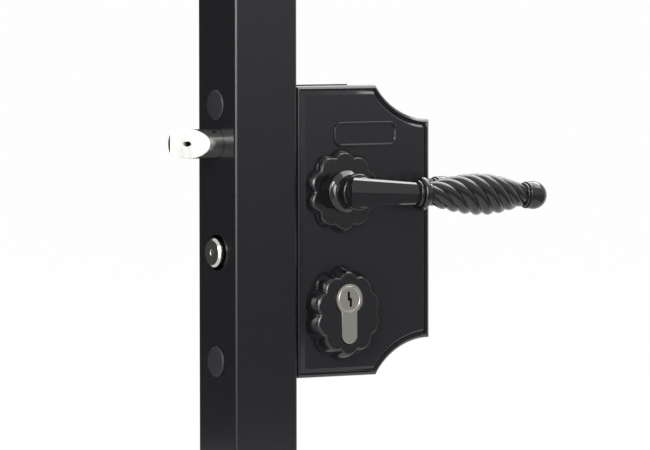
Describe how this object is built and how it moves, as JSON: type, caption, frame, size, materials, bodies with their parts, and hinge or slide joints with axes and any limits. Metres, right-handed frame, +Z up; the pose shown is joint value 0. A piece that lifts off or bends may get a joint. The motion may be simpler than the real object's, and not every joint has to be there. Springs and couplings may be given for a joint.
{
  "type": "gate lock",
  "caption": "Gate lock bolted to a square gate profile, with a round latch bolt and dead bolt, moulded cover plates, lobed rosettes, twisted lever handles and a profile cylinder.",
  "frame": {"origin": "centre of the gate profile's lower end", "axes": "+Z up along the profile, +X from the profile towards the gate leaf, -Y out of the front cover, the side shown in the picture"},
  "size_m": [0.2126, 0.1132, 0.3],
  "materials": {
    "powder_coat": "black semi-gloss powder coat on a steel profile",
    "black_casting": "black gloss coating on cast aluminium",
    "black_plastic": "black moulded plastic",
    "cast_case": "black coated cast aluminium",
    "stainless": "turned stainless steel",
    "zinc_plate": "zinc-plated steel",
    "spring_wire": "drawn spring steel",
    "nickel_brass": "satin nickel plate on brass"
  },
  "bodies": {
    "lock": {"gate_profile": "powder_coat", "profile_caps": "black_plastic", "fixing_bolts": "zinc_plate", "fixing_washers": "zinc_plate", "lock_case": "cast_case", "lock_case_lid": "zinc_plate", "lid_screws": "zinc_plate", "front_cover": "black_casting", "rear_cover": "black_casting", "cover_screws": "zinc_plate", "front_handle_rosette": "black_casting", "rear_handle_rosette": "black_casting", "front_cylinder_rosette": "black_casting", "rear_cylinder_rosette": "black_casting", "rosette_screws": "zinc_plate", "handle_bushes": "black_plastic", "bolt_bushes": "black_plastic", "handle_spring": "spring_wire", "spring_guide_pin": "stainless", "latch_spring": "spring_wire", "tail_guide_pin": "stainless", "detent_spring": "spring_wire", "cylinder_body": "nickel_brass", "cylinder_screw": "zinc_plate"},
    "lever": {"front_handle": "black_casting", "rear_handle": "black_casting", "handle_screws": "zinc_plate", "spindle": "zinc_plate", "follower": "zinc_plate"},
    "latch": {"latch_bolt": "stainless", "latch_tail": "stainless", "latch_pin": "stainless"},
    "deadbolt": {"dead_bolt": "stainless", "dead_bolt_tail": "stainless", "dead_bolt_pin": "stainless"},
    "front_key_plug": {"front_plug": "nickel_brass", "cylinder_cam": "zinc_plate"},
    "rear_key_plug": {"rear_plug": "nickel_brass"}
  },
  "joints": [
    {"name": "handle_turn", "type": "hinge", "parent": "lock", "child": "lever", "pos_m": [0.0489, 0, 0.172], "axis": [0, 1, 0], "range_deg": [0, 42], "stiffness_Nm_per_rad": 1.3, "springref_deg": -22.92, "deforming": ["handle_spring"]},
    {"name": "latch_slide", "type": "slide", "parent": "lock", "child": "latch", "axis": [1, 0, 0], "range_m": [0, 0.0201], "deforming": ["latch_spring"]},
    {"name": "key_turn", "type": "hinge", "parent": "lock", "child": "front_key_plug", "pos_m": [0.0489, 0, 0.113], "axis": [0, -1, 0], "range_deg": [0, 360]},
    {"name": "dead_bolt_slide", "type": "slide", "parent": "lock", "child": "deadbolt", "axis": [-1, 0, 0], "range_m": [0, 0.02], "deforming": ["detent_spring"]},
    {"name": "rear_key_turn", "type": "hinge", "parent": "lock", "child": "rear_key_plug", "pos_m": [0.0489, 0, 0.113], "axis": [0, 1, 0], "range_deg": [0, 360]}
  ],
  "couplings": [
    {"joint": "latch_slide", "follows": "handle_turn", "m_per_rad": 0.02738},
    {"joint": "key_turn", "follows": "dead_bolt_slide", "rad_per_m": 314.16}
  ]
}
